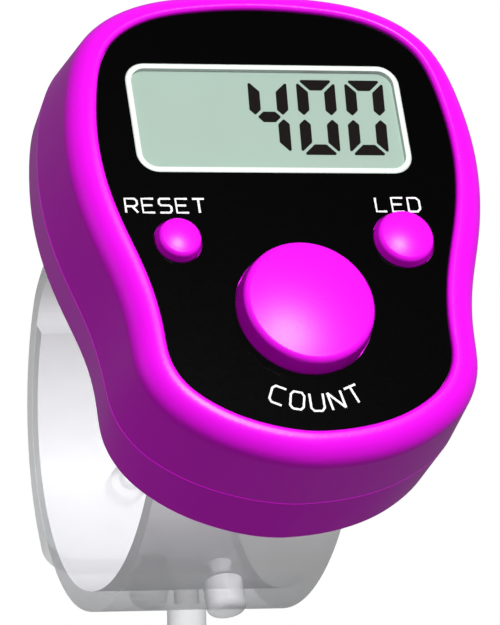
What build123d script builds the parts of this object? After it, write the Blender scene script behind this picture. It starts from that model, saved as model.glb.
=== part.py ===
from build123d import *
import os
from math import cos, degrees, hypot, radians, sin

# An electronic tally counter that is worn on a finger: a moulded two-shell housing with a display and three
# buttons, held by a two-piece silicone strap that closes with pegs in holes.
# Frame: the origin is the centre of the strap loop's round lower half. +Z points out of the face, +Y towards
# the display end and +X to the right of the face. All sizes are in millimetres.

# ---- driving dimensions ----
FACE_Z = 28.4            # outer surface of the black face panel
HOUSING_DEPTH = 11.0     # face panel to the housing's back
SEAM_DEPTH = 6.4         # face panel to the joint between the two shells
CROWN = 0.4              # height of the coloured rim above the panel
CAVITY = 0.9             # the front shell's inside, outwards from the panel's outline
WAIST_Y = -5.0
RIM_GROW = (2.0, 0.12, -0.55)   # outwards from the panel at the waist, then how much more at the strap end
SEAM_GROW = (2.6, -0.45, -0.2)  # and at the display end: the rim, the joint between the shells and the back
BACK_GROW = (1.86, 0.72, 0.55)
PANEL_T = 0.45
DECK_T = 1.0             # shelf of the front shell that the panel lies on
LIP_IN, LIP_H = 0.2, 0.8 # inner lip of the back shell: its inside outline and its height above the seam

HALF_OUTLINE = [         # right half of the face panel, from the strap end to the display end
    (0, -16.24), (4.1, -15.62), (7.82, -13.79), (9.6, -11.69), (10.0, -8.64), (10.67, -4.13), (11.8, -0.25),
    (12.54, 4.32), (12.08, 9.85), (10.99, 12.85), (8.68, 14.75), (4.3, 15.87), (0, 16.13),
]

COUNT_AT = (0, -7.25)
RESET_AT = (-8.0, -1.92)
LED_AT = (7.92, -1.8)
BUTTON_HOLES = [(COUNT_AT, 4.7), (RESET_AT, 1.6), (LED_AT, 2.1)]
SLIDE_GAP = 0.08         # radial clearance of each button in the panel and the deck

WINDOW_AT = (-0.2, 7.6)
WINDOW_SIZE = (19.6, 8.5)
WINDOW_CORNER = 1.5
FRAME_W = 0.42           # white printed frame around the window
CELL_SIZE = (21.2, 9.6)

DIGIT_H, DIGIT_W, STROKE, DIGIT_PITCH = 5.87, 2.77, 0.8, 3.48
DIGIT_LEAN = 4.3         # degrees
SEGMENT_GAP = 0.16
LAST_DIGIT_X = 6.99
DIGIT_Y = 8.0

BOARD_TOP = FACE_Z - 3.9
BOARD_T = 0.8
CELL_R, CELL_T = 5.8, 3.05      # standard button cell
COVER_R, COVER_FLANGE_R = 6.92, 8.3
TAB_R, TAB_W = 7.5, 3.6
WELL_R = 8.05            # inside of the wall around the battery
SCREW_SPOTS = [(7.0, 13.75), (-7.0, 13.75), (5.6, -13.0), (-5.6, -13.0)]
SCREW_R, HEAD_R, BOSS_R = 0.6, 1.2, 1.25

BAND_W = 14.2            # strap width
BAND_T = 1.45
LAYER_GAP = 0.05
LOOP_R = 13.0            # finger loop, lower half
SIDE_R = 18.3            # flatter sides of the loop
BEND = 56.0              # degrees each side of straight down where the lower arc meets the sides
PIN_ANGLE = 40.0         # degrees up the side arc to each strap pin
PIN_R = 0.6
KNUCKLE_R = 1.7
PEG_R, PEG_L = 1.4, 2.3
CORE_R, CORE_L = 0.9, 1.0 # blind hole behind each peg
PEG_PITCH = 9.1
FIRST_PEG = -11.96       # along the outer surface, from where the lower arc starts on the strap end's side
PEG_COUNT = 5
PEG_BAND_END = 322.0     # degrees, measured from +Y towards +Z
HOLE_BAND_END = 247.0

# ---- levels worked out from them ----
BACK_Z = FACE_Z - HOUSING_DEPTH
SEAM_Z = FACE_Z - SEAM_DEPTH
DECK_TOP = FACE_Z - PANEL_T
DECK_BOTTOM = DECK_TOP - DECK_T
BOARD_BOTTOM = BOARD_TOP - BOARD_T
FLOOR_T = 1.2
FLOOR_Z = BACK_Z + FLOOR_T
SCREW_TIP_Z = FLOOR_Z + 4.5
SWING = SIDE_R - LOOP_R
SIDE_Y = SWING * sin(radians(BEND))
SIDE_Z = SWING * cos(radians(BEND))
MID_R = SIDE_R + BAND_T / 2
PIN_Y = MID_R * cos(radians(PIN_ANGLE)) - SIDE_Y
PIN_Z = MID_R * sin(radians(PIN_ANGLE)) + SIDE_Z


# ---- small helpers ----
def outline_spots(count=48):
    """Points around the face's outline, each with the direction that points away from the face."""
    left = [(-x, y) for x, y in reversed(HALF_OUTLINE[1:-1])]
    curve = Spline(*HALF_OUTLINE, *left, periodic=True)
    spots = []
    for i in range(count):
        along = curve.tangent_at(i / count)
        spots.append((curve.position_at(i / count), Vector(along.Y, -along.X)))
    return spots


OUTLINE = outline_spots()


def outline(grow, z):
    """The face's outline at height z, grown sideways by one amount, or by more or less at the two ends."""
    waist, strap_end, display_end = grow if isinstance(grow, tuple) else (grow, 0, 0)
    spots = []
    for spot, away in OUTLINE:
        past = (spot.Y - WAIST_Y) / (HALF_OUTLINE[-1][1] - WAIST_Y)
        before = (spot.Y - WAIST_Y) / (HALF_OUTLINE[0][1] - WAIST_Y)
        swell = display_end * past ** 2 if past > 0 else strap_end * before ** 2
        spots.append(spot + away * (waist + swell))
    return Pos(0, 0, z) * make_face(Spline(*spots, periodic=True))


def slab(grow, low, high):
    return extrude(outline(grow, low), high - low, dir=(0, 0, 1))


def disc(spot, radius, low, high):
    return Pos(spot[0], spot[1], (low + high) / 2) * Cylinder(radius, high - low)


def block(spot, size, low, high):
    return Pos(spot[0], spot[1], (low + high) / 2) * Box(size[0], size[1], high - low)


def plate(spot, size, corner, low, high):
    face = Pos(spot[0], spot[1], low) * RectangleRounded(size[0], size[1], corner)
    return extrude(face, high - low, dir=(0, 0, 1))


def edges_at(shape, z):
    return shape.edges().filter_by_position(Axis.Z, z - 0.01, z + 0.01)


def turned(profile):
    """A solid of revolution about Z from (radius, height) corners."""
    return revolve(Plane.XZ * make_face(Polyline(*profile, close=True)), Axis.Z)


# ---- housing ----
def front_shell():
    top = FACE_Z + CROWN
    shell = loft([outline(SEAM_GROW, SEAM_Z), outline(RIM_GROW, top)])
    shell = fillet(edges_at(shell, top), 1.75)
    shell -= slab(0, DECK_TOP, top + 1)
    shell = fillet(edges_at(shell, top).sort_by(SortBy.LENGTH)[0], 0.3)
    shell -= slab(CAVITY, SEAM_Z - 1, DECK_BOTTOM)
    shell -= plate(WINDOW_AT, (CELL_SIZE[0] + 0.3, CELL_SIZE[1] + 0.3), 0.4, DECK_BOTTOM - 1, DECK_TOP + 0.01)
    for spot, radius in BUTTON_HOLES:
        shell -= disc(spot, radius + SLIDE_GAP, DECK_BOTTOM - 1, DECK_TOP + 1)
    for spot in SCREW_SPOTS:
        shell += disc(spot, BOSS_R, FLOOR_Z + 0.05, DECK_BOTTOM)
        shell -= disc(spot, SCREW_R, FLOOR_Z - 1, SCREW_TIP_Z + 0.2)
    return shell


def back_shell():
    levels = [(SEAM_GROW, -0.06, SEAM_Z), (SEAM_GROW, 0, SEAM_Z - 0.06), (BACK_GROW, 0, BACK_Z + 0.3),
              (BACK_GROW, -0.3, BACK_Z)]
    body = loft([outline((grow[0] + inset, *grow[1:]), z) for grow, inset, z in levels], ruled=True)
    body += slab(CAVITY - 0.06, SEAM_Z - 0.3, SEAM_Z + LIP_H)
    body -= slab(LIP_IN, FLOOR_Z, SEAM_Z + 2)
    body -= disc((0, 0), WELL_R + 0.5, BACK_Z - 1, SEAM_Z)
    body += battery_well()
    for spot in SCREW_SPOTS:
        body -= disc(spot, SCREW_R + 0.15, BACK_Z - 1, SEAM_Z)
        body -= disc(spot, HEAD_R + 0.12, BACK_Z - 1, BACK_Z + 0.75)
    for side in (1, -1):
        for end in (1, -1):
            body += strap_ear(side, end)
    return body


def battery_well():
    """Middle of the back shell: the cover's recess, its bayonet notches and the wall around the cell."""
    well = disc((0, 0), WELL_R + 0.75, BACK_Z, BACK_Z + 3.4) - disc((0, 0), WELL_R, FLOOR_Z, SEAM_Z)
    well -= disc((0, 0), COVER_FLANGE_R + 0.08, BACK_Z - 1, BACK_Z + 0.62)
    well -= disc((0, 0), COVER_R + 0.08, BACK_Z - 1, SEAM_Z)
    for k in range(3):
        well -= Rot(0, 0, 120 * k + 60) * block((TAB_R - 1, 0), (2.4, TAB_W + 0.8), BACK_Z + 0.3, FLOOR_Z + 0.5)
    return well


def strap_ear(side, end):
    """One of the four lugs under the housing that hold the strap pins."""
    thick, reach = 1.7, 2.0
    web = Pos(end * PIN_Y, (PIN_Z + BACK_Z) / 2 + 0.1) * Rectangle(2 * reach, BACK_Z - PIN_Z + 0.2)
    face = web + Pos(end * PIN_Y, PIN_Z) * Circle(reach) - Pos(end * PIN_Y, PIN_Z) * Circle(PIN_R)
    inner = BAND_W / 2 + 0.15
    ear = extrude(Plane.YZ * face, thick, dir=(1, 0, 0))
    return Pos(inner if side > 0 else -inner - thick, 0, 0) * ear


def shell_screws():
    """Four self-tapping screws from the back, each with a cross recess."""
    screws = []
    for spot in SCREW_SPOTS:
        shank = disc(spot, SCREW_R, BACK_Z + 0.75, SCREW_TIP_Z)
        head = disc(spot, HEAD_R, BACK_Z + 0.1, BACK_Z + 0.75)
        for turn in (0, 90):
            head -= Pos(spot[0], spot[1], BACK_Z + 0.2) * Rot(0, 0, turn) * Box(1.3, 0.3, 0.6)
        screws.append(shank + head)
    return screws


def face_panel():
    panel = slab(-0.04, DECK_TOP, FACE_Z)
    panel -= plate(WINDOW_AT, WINDOW_SIZE, WINDOW_CORNER, DECK_TOP - 1, FACE_Z + 1)
    for spot, radius in BUTTON_HOLES:
        panel -= disc(spot, radius + SLIDE_GAP, DECK_TOP - 1, FACE_Z + 1)
    return panel


# ---- display ----
def display_frame():
    inner = (WINDOW_SIZE[0] - 2 * FRAME_W, WINDOW_SIZE[1] - 2 * FRAME_W)
    frame = plate(WINDOW_AT, WINDOW_SIZE, WINDOW_CORNER, DECK_TOP, FACE_Z - 0.02)
    frame = fillet(edges_at(frame, FACE_Z - 0.02), 0.12)
    return frame - plate(WINDOW_AT, inner, WINDOW_CORNER - FRAME_W, DECK_TOP - 1, FACE_Z + 1)


def display_window():
    size = (WINDOW_SIZE[0] - 2 * FRAME_W - 0.04, WINDOW_SIZE[1] - 2 * FRAME_W - 0.04)
    return plate(WINDOW_AT, size, WINDOW_CORNER - FRAME_W - 0.02, DECK_TOP, FACE_Z - 0.2)


def lcd_cell():
    """Two sheets of glass: the lower one is longer, for the contacts at the display end."""
    upper = block(WINDOW_AT, (CELL_SIZE[0], CELL_SIZE[1] - 1.2), DECK_TOP - 0.75, DECK_TOP - 0.1)
    upper = Pos(0, -0.6, 0) * upper
    return upper + block(WINDOW_AT, CELL_SIZE, DECK_TOP - 1.4, DECK_TOP - 0.75)


def segment(name):
    """One bar of a seven-bar digit, as a flat outline about the digit's centre."""
    w, h, s, g = DIGIT_W / 2, DIGIT_H / 2, STROKE, SEGMENT_GAP
    upright = [(w - s / 2, g), (w, g + s / 2), (w, h - g), (w - s, h - s - g), (w - s, g + s / 2)]
    cap = [(g - w, h), (w - g, h), (w - s - g, h - s), (s + g - w, h - s)]
    half = w - s / 2 - g
    bar = [(-half, 0), (s / 2 - half, s / 2), (half - s / 2, s / 2), (half, 0), (half - s / 2, -s / 2),
           (s / 2 - half, -s / 2)]
    flips = {"top": (cap, 1, 1), "bottom": (cap, 1, -1), "middle": (bar, 1, 1), "right_top": (upright, 1, 1),
             "right_bottom": (upright, 1, -1), "left_top": (upright, -1, 1), "left_bottom": (upright, -1, -1)}
    points, fx, fy = flips[name]
    lean = sin(radians(DIGIT_LEAN))
    return [(fx * x + lean * fy * y, fy * y) for x, y in points]


def lcd_digits():
    four = ["left_top", "right_top", "right_bottom", "middle"]
    nought = ["top", "bottom", "left_top", "left_bottom", "right_top", "right_bottom"]
    bars = []
    for place, names in ((2, four), (1, nought), (0, nought)):
        spot = Pos(LAST_DIGIT_X - place * DIGIT_PITCH, DIGIT_Y, DECK_TOP - 0.09)
        for name in names:
            bar = make_face(Polyline(*segment(name), close=True))
            bars.append(spot * extrude(fillet(bar.vertices(), 0.1), 0.05))
    return bars


def lcd_reflector():
    spot = (WINDOW_AT[0], WINDOW_AT[1] - 0.5)
    return block(spot, (CELL_SIZE[0], CELL_SIZE[1] - 1.0), DECK_TOP - 1.5, DECK_TOP - 1.4)


def light_guide():
    """Clear plate behind the display, lit from its right-hand end."""
    guide = block((WINDOW_AT[0] - 0.9, WINDOW_AT[1] - 0.3), (18.6, 8.0), DECK_TOP - 2.5, DECK_TOP - 1.52)
    legs = [block((x, WINDOW_AT[1] - 0.3), (1.2, 5.0), BOARD_TOP, DECK_TOP - 2.49) for x in (-8.6, 6.4)]
    return chamfer(guide.edges().filter_by(Axis.Z), 0.3) + legs[0] + legs[1]


def backlight_led():
    spot = (WINDOW_AT[0] + 9.4, WINDOW_AT[1] - 0.3)
    base = block(spot, (1.0, 3.0), BOARD_TOP, BOARD_TOP + 0.4)
    lens = block(spot, (0.8, 2.2), BOARD_TOP + 0.4, BOARD_TOP + 1.4)
    return base + chamfer(edges_at(lens, BOARD_TOP + 1.4), 0.2)


def elastomer_strip():
    """Striped rubber strip that joins the board's contacts to the display glass."""
    y = WINDOW_AT[1] + CELL_SIZE[1] / 2 - 0.5
    return block((WINDOW_AT[0], y), (16.0, 0.8), BOARD_TOP, DECK_TOP - 1.4)


# ---- board ----
def circuit_board():
    board = slab(0.35, BOARD_BOTTOM, BOARD_TOP)
    for spot in SCREW_SPOTS:
        board -= disc(spot, BOSS_R + 0.15, BOARD_BOTTOM - 1, BOARD_TOP + 1)
    return board


def controller_blob():
    """Resin dome over the controller chip, on the board's back."""
    dome = turned([(0, -0.95), (1.3, -0.85), (2.2, -0.45), (2.5, 0), (0, 0)])
    return Pos(0, 11.2, BOARD_BOTTOM) * dome


def surface_mount_parts():
    """Resistors and a capacitor, each a body with two soldered ends."""
    spots = [(-8.6, 5.0, 0), (-8.6, 2.9, 0), (8.8, 4.6, 90), (8.8, -9.0, 90)]
    parts = []
    for x, y, turn in spots:
        place = Pos(x, y, BOARD_BOTTOM - 0.275) * Rot(0, 0, turn)
        ends = [Pos(0.525 * side, 0, 0) * Box(0.35, 0.85, 0.55) for side in (1, -1)]
        parts.append(place * (Box(0.9, 0.8, 0.5) + ends[0] + ends[1]))
    return parts


def snap_dome(spot, radius):
    """Pressed metal dome that clicks and makes the contact."""
    rise, sheet = 0.55, 0.08
    mid, low = 0.62 * rise, rise - sheet
    outer = [(radius, 0), (radius, sheet), (radius * 0.72, mid), (radius * 0.3, rise), (0, rise)]
    inner = [(0, low), (radius * 0.28, low), (radius * 0.68, mid - sheet), (radius - 0.2, 0)]
    return Pos(spot[0], spot[1], BOARD_TOP) * turned(outer + inner)


def contact_strip(points, width, sheet=0.2):
    """Bent sheet-metal contact from (across, height) corners."""
    face = trace(Polyline(*points), sheet)
    return extrude(Plane.XZ * face, width / 2, both=True)


def negative_contact():
    touch = BACK_Z + 1.0 + CELL_T + 0.12
    root = BOARD_BOTTOM - 0.12
    return contact_strip([(-4.6, root), (-2.4, root), (0.9, touch), (1.9, touch + 0.5)], 2.4)


def positive_contact():
    side = CELL_R + 0.14
    low = BACK_Z + 2.3
    points = [(side + 1.6, BOARD_BOTTOM - 0.12), (side, BOARD_BOTTOM - 0.12), (side, low)]
    return contact_strip(points, 3.0)


# ---- buttons ----
def button(spot, foot_r, top_r, height, rise, round_r, flange_r, nub_r):
    """A push button: a domed cap, a flange that stops under the deck and a nub that rests on the dome."""
    crown_r = (top_r ** 2 + rise ** 2) / (2 * rise)
    peak, low = height + rise, -PANEL_T - DECK_T
    bulge = ThreePointArc((top_r, height), (top_r / 2, peak - top_r ** 2 / 8 / crown_r), (0, peak))
    side = Polyline((0, peak), (0, low), (foot_r, low), (foot_r, 0), (top_r, height))
    cap = revolve(Plane.XZ * make_face(side + bulge), Axis.Z)
    rim = [e for e in cap.edges() if abs(e.center().Z - height) < 0.02 and e.geom_type == GeomType.CIRCLE]
    cap = Pos(spot[0], spot[1], FACE_Z) * fillet(rim, round_r)
    flange = disc(spot, flange_r, DECK_BOTTOM - 0.6, DECK_BOTTOM - 0.04)
    nub = disc(spot, nub_r, BOARD_TOP + 0.57, DECK_BOTTOM - 0.5)
    return cap + disc(spot, foot_r, DECK_BOTTOM - 0.3, DECK_BOTTOM + 0.1) + flange + nub


# ---- battery ----
def button_cell():
    can = disc((0, 0), CELL_R, BACK_Z + 1.0, BACK_Z + 1.0 + CELL_T - 0.35)
    can = fillet(can.edges(), 0.25)
    cap = disc((0, 0), 4.6, BACK_Z + CELL_T, BACK_Z + 1.0 + CELL_T)
    return can + fillet(edges_at(cap, BACK_Z + 1.0 + CELL_T), 0.2)


def battery_cover():
    """Quarter-turn cover with a coin slot, three bayonet tabs and a collar around the cell."""
    flange = disc((0, 0), COVER_FLANGE_R, BACK_Z, BACK_Z + 0.6)
    flange = fillet(edges_at(flange, BACK_Z), 0.2)
    cover = flange + disc((0, 0), COVER_R, BACK_Z + 0.5, BACK_Z + 1.0)
    cover += disc((0, 0), COVER_R, BACK_Z + 0.9, BACK_Z + 1.85) - disc((0, 0), CELL_R + 0.15, BACK_Z + 0.9, BACK_Z + 2)
    for k in range(3):
        cover += Rot(0, 0, 120 * k) * block((TAB_R - 0.6, 0), (1.2, TAB_W), BACK_Z + 1.25, BACK_Z + 1.85)
    slot = plate((0, 0), (8.0, 1.3), 0.6, BACK_Z - 1, BACK_Z + 0.4)
    return cover - slot


# ---- strap ----
def arc_centre(angle):
    """Centre and inner radius of the loop's arc in a direction, in degrees from +Y towards +Z."""
    low, high = 270 - BEND, 270 + BEND
    if low <= angle <= high:
        return 0.0, 0.0, LOOP_R
    side = 1 if angle < low else -1
    return side * SIDE_Y, SIDE_Z, SIDE_R


def loop_spot(angle, height):
    """A point that stands off the loop's inner surface, in the strap's own plane."""
    y, z, radius = arc_centre(angle)
    reach = radius + height
    return y + reach * cos(radians(angle)), z + reach * sin(radians(angle))


def loop_arc(start, end, height):
    y, z, radius = arc_centre((start + end) / 2)
    return CenterArc((y, z), radius + height, start, end - start)


def peg_angle(number):
    """Direction of a peg, or of the hole that it goes into, from its distance along the outer surface."""
    along = FIRST_PEG + number * PEG_PITCH
    low_length = radians(2 * BEND) * (LOOP_R + BAND_T)
    if along < 0:
        return 270 - BEND + degrees(along / (SIDE_R + BAND_T))
    if along <= low_length:
        return 270 - BEND + degrees(along / (LOOP_R + BAND_T))
    return 270 + BEND + degrees((along - low_length) / (SIDE_R + BAND_T))


def across(angle, height):
    """A place on the strap's middle line with its own Z pointing outwards."""
    y, z = loop_spot(angle, height)
    return Pos(0, y, z) * Rot(angle - 90, 0, 0)


def knuckle(end):
    spot = Pos(end * PIN_Y, PIN_Z)
    return spot * Circle(KNUCKLE_R), spot * Circle(PIN_R + 0.05)


def strap_peg_band():
    """Inner silicone band, from the pin at the COUNT end round to under the finger, with its pegs."""
    start, meet, end = 180 - PIN_ANGLE, 270 - BEND, PEG_BAND_END
    inner = loop_arc(start, meet, 0) + loop_arc(meet, end, 0)
    outer = loop_arc(start, meet, BAND_T) + loop_arc(meet, end, BAND_T)
    ends = Line(loop_spot(start, 0), loop_spot(start, BAND_T)) + Line(loop_spot(end, 0), loop_spot(end, BAND_T))
    boss, hole = knuckle(-1)
    band = extrude(Plane.YZ * (make_face(inner + outer + ends) + boss - hole), BAND_W / 2, both=True)
    for number in range(PEG_COUNT):
        peg = Pos(0, 0, (PEG_L - 0.3) / 2) * Cylinder(PEG_R, PEG_L + 0.3)
        peg = fillet(peg.edges().sort_by(Axis.Z)[-1], 0.5)
        band += across(peg_angle(number), BAND_T) * peg
        band -= across(peg_angle(number), 0) * Cylinder(CORE_R, 2 * CORE_L)
    return band


def strap_hole_band():
    """Outer silicone band, from the pin at the display end, that steps out over the other band's end."""
    lift = BAND_T + LAYER_GAP
    start, leave, meet, end = PIN_ANGLE + 360, 349.0, 270 + BEND, HOLE_BAND_END
    sides = []
    for height in (0, BAND_T):
        step_from, step_to = loop_spot(leave, height), loop_spot(meet, lift + height)
        along = [(sin(radians(a)), -cos(radians(a))) for a in (leave, meet)]
        step = Spline(step_from, step_to, tangents=along)
        upper = CenterArc((-SIDE_Y, SIDE_Z), SIDE_R + height, start, leave - start)
        sides += [upper, step, loop_arc(meet, end, lift + height)]
    ends = [Line(loop_spot(start, 0), loop_spot(start, BAND_T))]
    ends.append(Line(loop_spot(end, lift), loop_spot(end, lift + BAND_T)))
    boss, hole = knuckle(1)
    band = extrude(Plane.YZ * (make_face(sides + ends) + boss - hole), BAND_W / 2, both=True)
    tip = loop_spot(end, lift + BAND_T / 2)
    corners = [e for e in band.edges().filter_by(GeomType.LINE)
               if e.length < 2 and hypot(e.center().Y - tip[0], e.center().Z - tip[1]) < 0.1]
    band = fillet(corners, 2.5)
    for number in range(3, 7):
        band -= across(peg_angle(number), 0) * Cylinder(PEG_R + 0.05, 12)
    return band


def strap_pin(end):
    return Pos(0, end * PIN_Y, PIN_Z) * Rot(0, 90, 0) * Cylinder(PIN_R, BAND_W + 3.5)


NODES = {
    "front_shell": front_shell(),
    "back_shell": back_shell(),
    "shell_screws": shell_screws(),
    "face_panel": face_panel(),
    "display_frame": display_frame(),
    "display_window": display_window(),
    "lcd_cell": lcd_cell(),
    "lcd_digits": lcd_digits(),
    "lcd_reflector": lcd_reflector(),
    "light_guide": light_guide(),
    "backlight_led": backlight_led(),
    "elastomer_strip": elastomer_strip(),
    "circuit_board": circuit_board(),
    "controller_blob": controller_blob(),
    "surface_mount_parts": surface_mount_parts(),
    "count_dome": snap_dome(COUNT_AT, 3.0),
    "reset_dome": snap_dome(RESET_AT, 2.0),
    "led_dome": snap_dome(LED_AT, 2.0),
    "negative_contact": negative_contact(),
    "positive_contact": positive_contact(),
    "button_cell": button_cell(),
    "battery_cover": battery_cover(),
    "count_button": button(COUNT_AT, 4.7, 4.52, 1.5, 0.4, 0.45, 5.35, 1.1),
    "reset_button": button(RESET_AT, 1.6, 1.42, 0.66, 0.2, 0.35, 2.3, 0.8),
    "led_button": button(LED_AT, 2.1, 1.9, 0.68, 0.27, 0.4, 2.75, 0.8),
    "strap_peg_band": strap_peg_band(),
    "strap_hole_band": strap_hole_band(),
    "strap_pin_front": strap_pin(-1),
    "strap_pin_rear": strap_pin(1),
}

os.makedirs("parts", exist_ok=True)
for name, shape in NODES.items():
    solids = shape if isinstance(shape, list) else [shape]
    solids = [s for part in solids for s in part.solids()]
    export_step(solids[0] if len(solids) == 1 else Compound(solids), f"parts/{name}.step")
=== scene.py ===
from math import cos, radians, sin

import bpy
from mathutils import Matrix, Vector


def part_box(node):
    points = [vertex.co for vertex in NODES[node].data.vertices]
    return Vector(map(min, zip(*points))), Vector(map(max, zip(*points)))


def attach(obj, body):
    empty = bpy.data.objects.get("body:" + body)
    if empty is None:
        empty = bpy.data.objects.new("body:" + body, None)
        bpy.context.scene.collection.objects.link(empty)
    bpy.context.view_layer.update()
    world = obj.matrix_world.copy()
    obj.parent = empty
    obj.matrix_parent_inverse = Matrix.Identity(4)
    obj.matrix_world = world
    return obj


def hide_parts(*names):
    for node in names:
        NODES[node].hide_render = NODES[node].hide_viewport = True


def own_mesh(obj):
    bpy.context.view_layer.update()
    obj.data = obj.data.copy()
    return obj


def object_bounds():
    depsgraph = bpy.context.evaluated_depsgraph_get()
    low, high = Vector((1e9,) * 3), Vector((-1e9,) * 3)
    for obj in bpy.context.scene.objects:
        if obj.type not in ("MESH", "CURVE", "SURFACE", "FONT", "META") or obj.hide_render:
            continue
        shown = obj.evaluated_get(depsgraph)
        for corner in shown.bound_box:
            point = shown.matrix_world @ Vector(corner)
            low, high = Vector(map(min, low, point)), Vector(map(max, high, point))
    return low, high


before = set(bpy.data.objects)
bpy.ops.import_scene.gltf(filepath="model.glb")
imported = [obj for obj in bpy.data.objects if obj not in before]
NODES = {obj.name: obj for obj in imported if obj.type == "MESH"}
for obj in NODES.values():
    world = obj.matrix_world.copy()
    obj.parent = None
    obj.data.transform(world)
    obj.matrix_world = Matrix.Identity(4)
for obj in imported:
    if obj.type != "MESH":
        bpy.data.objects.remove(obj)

MM = 0.001
CAD_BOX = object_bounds()

FACE_LOW, FACE_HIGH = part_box("face_panel")
FACE_Z = FACE_HIGH.z
COUNT_LOW, COUNT_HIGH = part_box("count_button")
COUNT_X, COUNT_Y = (COUNT_LOW.x + COUNT_HIGH.x) / 2, (COUNT_LOW.y + COUNT_HIGH.y) / 2
LOWEST_Z = CAD_BOX[0][2]


# ---- materials ----
def linear(hex_colour, alpha=1.0):
    """An sRGB hex colour as the linear values that a shader takes."""
    parts = [int(hex_colour[i:i + 2], 16) / 255 for i in (1, 3, 5)]
    return [p / 12.92 if p <= 0.04045 else ((p + 0.055) / 1.055) ** 2.4 for p in parts] + [alpha]


def add(tree, kind, values=None, links=None, **settings):
    """Adds one shader node with its own settings, its input values and its links from other nodes."""
    made = tree.nodes.new("ShaderNode" + kind)
    for key, value in settings.items():
        setattr(made, key, value)
    for key, value in (values or {}).items():
        made.inputs[key].default_value = value
    for key, (source, output) in (links or {}).items():
        tree.links.new(source.outputs[output], made.inputs[key])
    return made


def new_material(name, **shader_values):
    """A material with one Principled shader, and the tree, the shader and object coordinates to build on."""
    material = bpy.data.materials.new(name)
    material.use_nodes = True
    tree = material.node_tree
    tree.nodes.clear()
    shader = add(tree, "BsdfPrincipled", shader_values)
    add(tree, "OutputMaterial", links={"Surface": (shader, "BSDF")})
    place = add(tree, "TexCoord")
    return material, tree, shader, place


def surface_detail(tree, shader, place, dark, light, grain_mm, rough, bump_mm, patch_mm=6.0, detail=4.0):
    """Colour that drifts between two shades over patches, and a grain that drives roughness and relief."""
    patches = add(tree, "TexNoise", {"Scale": 1 / (patch_mm * MM), "Detail": 2.0}, {"Vector": (place, "Object")})
    shade = add(tree, "Mix", links={"Factor": (patches, "Fac")}, data_type="RGBA")
    first, second = [s for s in shade.inputs if s.type == "RGBA"]
    first.default_value, second.default_value = linear(dark), linear(light)
    tree.links.new(next(s for s in shade.outputs if s.type == "RGBA"), shader.inputs["Base Color"])
    grain = add(tree, "TexNoise", {"Scale": 1 / (grain_mm * MM), "Detail": detail}, {"Vector": (place, "Object")})
    spread = add(tree, "MapRange", {"To Min": rough[0], "To Max": rough[1]}, {"Value": (grain, "Fac")})
    tree.links.new(spread.outputs["Result"], shader.inputs["Roughness"])
    relief = add(tree, "Bump", {"Strength": 1.0, "Distance": bump_mm * MM}, {"Height": (grain, "Fac")})
    tree.links.new(relief.outputs["Normal"], shader.inputs["Normal"])


def finish(name, dark, light, grain_mm=0.2, rough=(0.3, 0.4), bump_mm=0.004, patch_mm=6.0, **shader_values):
    """A plain material: its two shades, its grain size, its roughness from and to, and its relief."""
    material, tree, shader, place = new_material(name, **shader_values)
    surface_detail(tree, shader, place, dark, light, grain_mm, rough, bump_mm, patch_mm)
    return material


def magenta_abs():
    """Glossy injection-moulded ABS: an even, saturated colour with broad soft highlights."""
    return finish("magenta moulded ABS", "#F40EF4", "#FA14FA", 0.25, (0.26, 0.31), 0.0010,
                  **{"Specular IOR Level": 0.14, "IOR": 1.5})


def black_panel_sheet():
    """Polycarbonate sheet printed black on its back: a deep, even black."""
    return finish("black printed polycarbonate", "#020202", "#030303", 0.3, (0.15, 0.19), 0.0003,
                  **{"Specular IOR Level": 0.03, "IOR": 1.5})


def white_ink():
    """Screen-printed ink: flat, dense white that keeps its brightness beside the glossy panel."""
    return finish("white screen-print ink", "#F6F8F7", "#FFFFFF", 0.15, (0.45, 0.6), 0.002,
                  **{"Specular IOR Level": 0.3})


def frame_surround():
    """Injection-moulded surround: a thin off-white line with a soft gloss round the display."""
    return finish("white moulded display surround", "#DCE3DE", "#E2E8E4", 0.2, (0.35, 0.45), 0.002)


def display_glass():
    """Reflective liquid-crystal glass: grey-green and slightly pearly."""
    return finish("reflective lcd glass", "#A8BFB2", "#ACC3B6", 0.12, (0.35, 0.45), 0.001, 3.0,
                  **{"Specular IOR Level": 0.1})


def display_ink():
    """Switched-on liquid-crystal segment: a warm, matt near-black."""
    return finish("switched-on lcd segment", "#140E0E", "#191212", 0.2, (0.4, 0.5), 0.0005,
                  **{"Specular IOR Level": 0.02})


def clear_acrylic():
    """Polished acrylic lens: almost invisible, with a faint gloss over the display."""
    return finish("clear acrylic lens", "#10201A", "#14241E", 0.5, (0.06, 0.1), 0.0002,
                  **{"Alpha": 0.04, "Specular IOR Level": 0.5, "IOR": 1.49})


def silicone():
    """Moulded clear silicone: milky and frosted, denser where it is seen along its surface, with painted shade that
    greys its colour there.
    """
    material, tree, shader, place = new_material("milky moulded silicone", **{"Specular IOR Level": 0.3, "IOR": 1.41})
    surface_detail(tree, shader, place, "#E4E6E7", "#EDEEEF", 0.4, (0.35, 0.48), 0.003)
    slant = add(tree, "LayerWeight", {"Blend": 0.35})
    dense = add(tree, "MapRange", {"To Min": 0.44, "To Max": 0.7}, {"Value": (slant, "Facing")})
    tree.links.new(dense.outputs["Result"], shader.inputs["Alpha"])
    even = shader.inputs["Base Color"].links[0].from_socket
    # painted shade: the colour is multiplied towards grey where the surface is seen edge-on
    grazing_shade = add(tree, "Mix", links={"Factor": (slant, "Facing")}, data_type="RGBA", blend_type="MULTIPLY")
    first, second = [s for s in grazing_shade.inputs if s.type == "RGBA"]
    # the grey of the painted shade at the grazing edges
    second.default_value = linear("#CBCDCF")
    tree.links.new(even, first)
    tree.links.new(next(s for s in grazing_shade.outputs if s.type == "RGBA"), shader.inputs["Base Color"])
    return material


def steel():
    """Bright drawn steel wire and pressed steel."""
    return finish("bright drawn steel", "#C4C2BE", "#D2D0CC", 0.1, (0.22, 0.34), 0.002, **{"Metallic": 1.0})


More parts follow.
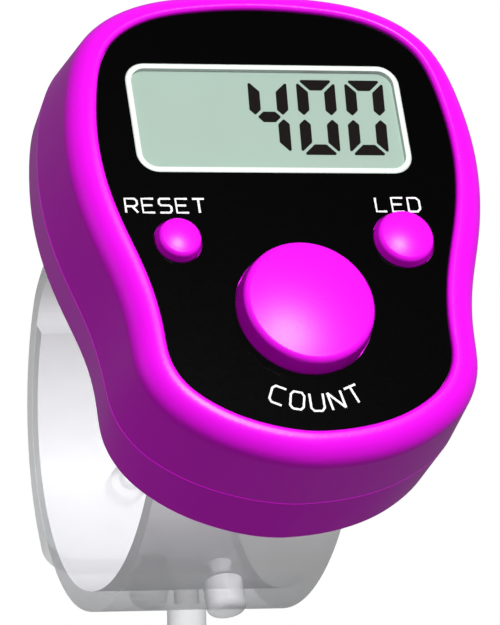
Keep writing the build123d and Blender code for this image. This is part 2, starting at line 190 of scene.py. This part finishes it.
def nickel():
    """Nickel plate on the battery contacts and the cell: bright, slightly yellow metal."""
    return finish("nickel plate", "#CFC8B8", "#D9D2C4", 0.2, (0.16, 0.26), 0.001, **{"Metallic": 1.0})


def board_lacquer():
    """Solder-resist lacquer on fibreglass: an even dark green with a low gloss."""
    return finish("green lacquered fibreglass board", "#0B4A22", "#11602D", 0.2, (0.3, 0.4), 0.004)


def potting_resin():
    """Cast epoxy resin over the controller: smooth, wet-looking black."""
    return finish("black potting resin", "#0A0A0B", "#151517", 0.4, (0.18, 0.3), 0.006)


def contact_rubber():
    """Layered conductive rubber: a dull, dark grey strip."""
    return finish("striped contact rubber", "#2A2A2C", "#3A3A3D", 0.1, (0.6, 0.75), 0.006)


def guide_acrylic():
    """Frosted acrylic: a pale, half-clear slab that spreads the backlight."""
    return finish("frosted acrylic light guide", "#E6EDF0", "#F2F7F9", 0.15, (0.4, 0.5), 0.004, **{"Alpha": 0.6})


def pearl_film():
    """Pearl-coated film behind the display: a soft grey-green sheen."""
    return finish("pearl reflector film", "#BFD0C6", "#CCDAD1", 0.1, (0.35, 0.5), 0.001)


def led_resin():
    """Cast clear resin over the lamp: a glossy pale yellow."""
    return finish("led resin", "#EDE6B0", "#F7F1C6", 0.2, (0.2, 0.3), 0.001)


MAGENTA, SILICONE, STEEL, NICKEL = magenta_abs(), silicone(), steel(), nickel()
NODE_FINISH = {
    "front_shell": MAGENTA, "back_shell": MAGENTA, "battery_cover": MAGENTA, "count_button": MAGENTA,
    "reset_button": MAGENTA, "led_button": MAGENTA, "face_panel": black_panel_sheet(),
    "display_frame": frame_surround(), "display_window": clear_acrylic(), "lcd_cell": display_glass(),
    "lcd_digits": display_ink(), "lcd_reflector": pearl_film(), "light_guide": guide_acrylic(),
    "backlight_led": led_resin(), "elastomer_strip": contact_rubber(), "circuit_board": board_lacquer(),
    "controller_blob": potting_resin(), "surface_mount_parts": potting_resin(), "count_dome": STEEL,
    "reset_dome": STEEL, "led_dome": STEEL, "shell_screws": STEEL, "strap_pin_front": STEEL,
    "strap_pin_rear": STEEL, "negative_contact": NICKEL, "positive_contact": NICKEL, "button_cell": NICKEL,
    "strap_peg_band": SILICONE, "strap_hole_band": SILICONE,
}
for name, material in NODE_FINISH.items():
    NODES[name].data.materials.clear()
    NODES[name].data.materials.append(material)


# ---- lettering ----
WORD_CELL, WORD_STROKE = (0.82, 1.06), 0.17      # mm, a letter's width and height, and its line
CURVE_CELL, CURVE_STROKE = (0.93, 1.28), 0.18    # mm, the same for the word around the COUNT button
CURVE_SHIFT = -0.15                              # mm, from the button's middle to the curved word's
INK_T = 0.02                                     # mm
STROKES = {                      # letter strokes on a unit cell, one list of corners for each stroke
    "R": [[(0, 0), (0, 1), (0.8, 1), (1, 0.85), (1, 0.6), (0.8, 0.45), (0, 0.45)], [(0.55, 0.45), (1, 0)]],
    "E": [[(1, 0), (0, 0), (0, 1), (1, 1)], [(0, 0.52), (0.85, 0.52)]],
    "S": [[(0, 0), (0.85, 0), (1, 0.15), (1, 0.4), (0.85, 0.52),
           (0.15, 0.52), (0, 0.65), (0, 0.88), (0.15, 1), (1, 1)]],
    "T": [[(0, 1), (1, 1)], [(0.5, 1), (0.5, 0)]],
    "L": [[(0, 1), (0, 0), (0.9, 0)]],
    "D": [[(0, 0), (0, 1), (0.75, 1), (1, 0.8), (1, 0.2), (0.75, 0), (0, 0)]],
    "C": [[(1, 0), (0.2, 0), (0, 0.18), (0, 0.82), (0.2, 1), (1, 1)]],
    "O": [[(0.2, 0), (0, 0.18), (0, 0.82), (0.2, 1), (0.8, 1), (1, 0.82), (1, 0.18), (0.8, 0), (0.2, 0)]],
    "U": [[(0, 1), (0, 0.18), (0.2, 0), (0.8, 0), (1, 0.18), (1, 1)]],
    "N": [[(0, 0), (0, 1)], [(0, 1), (1, 0)], [(1, 0), (1, 1)]],
}


def letter(character, cell, stroke, place):
    """One printed letter, made from flattened round-ended strokes, at a place on the face."""
    curve = bpy.data.curves.new("letter", "CURVE")
    curve.dimensions = "3D"
    curve.bevel_depth = stroke / 2 * MM
    curve.bevel_resolution = 2
    curve.use_fill_caps = True
    for corners in STROKES[character]:
        spline = curve.splines.new("POLY")
        spline.points.add(len(corners) - 1)
        for point, (x, y) in zip(spline.points, corners):
            point.co = ((x - 0.5) * cell[0] * MM, (y - 0.5) * cell[1] * MM, 0, 1)
    made = bpy.data.objects.new("letter", curve)
    bpy.context.scene.collection.objects.link(made)
    bpy.ops.object.select_all(action="DESELECT")
    made.select_set(True)
    bpy.context.view_layer.objects.active = made
    bpy.ops.object.convert(target="MESH")
    flat = Matrix.Diagonal((1, 1, INK_T / stroke, 1))
    made.data.transform(place @ flat)
    return made


def join(pieces, name, body, material):
    """Joins the pieces into one named piece of one material, riding on a body."""
    bpy.ops.object.select_all(action="DESELECT")
    for piece in pieces:
        piece.select_set(True)
    bpy.context.view_layer.objects.active = pieces[0]
    bpy.ops.object.join()
    made = bpy.context.view_layer.objects.active
    made.name = name
    made.data.materials.clear()
    made.data.materials.append(material)
    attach(made, body)
    return made


def face_place(x, y, turn=0.0, height=INK_T / 4):
    """A place on the face panel, in millimetres, turned about the panel's normal."""
    return Matrix.Translation((x * MM, y * MM, FACE_Z + height * MM)) @ Matrix.Rotation(turn, 4, "Z")


INK = white_ink()


def straight_word(word, middle, pitch, name):
    """A word printed in a straight line, centred on a place on the face."""
    pieces = []
    for i, character in enumerate(word):
        x = middle[0] + (i - (len(word) - 1) / 2) * pitch
        pieces.append(letter(character, WORD_CELL, WORD_STROKE, face_place(x, middle[1])))
    return join(pieces, name, "housing", INK)


def curved_word(word, radius, spacing, name):
    """A word printed along an arc under the COUNT button, its letters some degrees apart."""
    pieces = []
    for i, character in enumerate(word):
        turn = radians((i - (len(word) - 1) / 2) * spacing)
        x = COUNT_X / MM + CURVE_SHIFT + radius * sin(turn)
        y = COUNT_Y / MM - radius * cos(turn)
        pieces.append(letter(character, CURVE_CELL, CURVE_STROKE, face_place(x, y, turn)))
    return join(pieces, name, "housing", INK)


straight_word("RESET", middle=(-8.54, 0.76), pitch=1.18, name="reset_legend")
straight_word("LED", middle=(7.93, 0.92), pitch=1.16, name="led_legend")
curved_word("COUNT", radius=6.8, spacing=11.6, name="count_legend")


# ---- snap domes ----
MERGE_GAP = 0.002 * MM
SMOOTH_BELOW = radians(35)


def springy_dome(node):
    """A smooth-shaded copy of a snap dome, riding on the housing in place of the stamping."""
    stamping = NODES[node]
    dome = stamping.copy()
    dome.data = stamping.data.copy()
    dome.parent = None
    dome.matrix_world = stamping.matrix_world.copy()
    dome.name = node + "_sheet"
    bpy.context.scene.collection.objects.link(dome)
    bpy.ops.object.select_all(action="DESELECT")
    dome.select_set(True)
    bpy.context.view_layer.objects.active = dome
    bpy.ops.object.mode_set(mode="EDIT")
    bpy.ops.mesh.select_all(action="SELECT")
    bpy.ops.mesh.remove_doubles(threshold=MERGE_GAP)
    bpy.ops.mesh.normals_make_consistent(inside=False)
    bpy.ops.object.mode_set(mode="OBJECT")
    bpy.ops.object.shade_smooth_by_angle(angle=SMOOTH_BELOW)
    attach(dome, "housing")
    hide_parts(node)
    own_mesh(dome)


for key in ("count", "reset", "led"):
    springy_dome(key + "_dome")


# ---- stage ----
FLOOR_SIZE = 2.0
FLOOR_DROP = 0.02 * MM           # gap under the lowest piece
PAPER_SHARE = 0.04               # how much of the floor's brightness is paper, the rest being its own light
ROOM_BRIGHTNESS = 0.19
SENSOR_W, FOCAL_LENGTH = 36.0, 306.2592
CAMERA_PLACE = (-0.11027, -0.16498, 0.32609)
CAMERA_RIGHT = (0.9535, -0.1426, 0.2655)
CAMERA_UP = (0.0017, 0.8835, 0.4685)


def make_floor():
    """A pale, evenly bright floor that adds no light of its own to the counter."""
    bpy.ops.mesh.primitive_plane_add(size=FLOOR_SIZE, location=(0, 0, LOWEST_Z - FLOOR_DROP))
    floor = bpy.context.active_object
    floor.name = "floor"
    material = bpy.data.materials.new("pale floor")
    material.use_nodes = True
    tree = material.node_tree
    tree.nodes.clear()
    paper = add(tree, "BsdfDiffuse", {"Color": (0.9, 0.9, 0.9, 1)})
    lit = add(tree, "Emission", {"Color": (1, 1, 1, 1), "Strength": 1.0})
    both = add(tree, "MixShader", {"Fac": PAPER_SHARE})
    tree.links.new(lit.outputs[0], both.inputs[1])
    tree.links.new(paper.outputs[0], both.inputs[2])
    add(tree, "OutputMaterial", links={"Surface": (both, "Shader")})
    floor.data.materials.append(material)
    floor.visible_diffuse = False
    floor.visible_glossy = False


def area_light(name, direction, distance, size, watts, target):
    """A round soft lamp with no shadow, at a distance from its target and facing it."""
    data = bpy.data.lights.new(name, "AREA")
    data.shape = "DISK"
    data.size = size
    data.energy = watts
    data.use_shadow = False
    lamp = bpy.data.objects.new(name, data)
    bpy.context.scene.collection.objects.link(lamp)
    way = Vector(direction).normalized()
    lamp.location = Vector(target) + way * distance
    lamp.rotation_euler = way.to_track_quat("Z", "Y").to_euler()


def make_lights():
    """A large soft lamp overhead, a weak one from the left, and an even room light."""
    world = bpy.data.worlds.new("soft room")
    bpy.context.scene.world = world
    world.use_nodes = True
    world.node_tree.nodes["Background"].inputs["Color"].default_value = (1, 1, 1, 1)
    world.node_tree.nodes["Background"].inputs["Strength"].default_value = ROOM_BRIGHTNESS
    middle = (0, 0, FACE_Z)
    area_light("overhead softbox", (0.15, 0.23, 0.96), distance=0.5, size=0.1, watts=2.66, target=middle)
    area_light("left fill", (-1.0, 0.1, 0.15), distance=0.5, size=0.3, watts=0.1, target=middle)


def make_camera():
    """The camera looks down on the face from its strap end and its left, rolled clockwise."""
    right, up = Vector(CAMERA_RIGHT), Vector(CAMERA_UP)
    back = right.cross(up).normalized()
    up = back.cross(right.normalized())
    place = Matrix((right.normalized(), up, back)).transposed().to_4x4()
    place.translation = Vector(CAMERA_PLACE)
    data = bpy.data.cameras.new("camera")
    data.sensor_width, data.lens = SENSOR_W, FOCAL_LENGTH
    camera = bpy.data.objects.new("camera", data)
    bpy.context.scene.collection.objects.link(camera)
    camera.matrix_world = place
    bpy.context.scene.camera = camera


make_floor()
make_lights()
make_camera()
bpy.context.scene.view_settings.view_transform = "Standard"
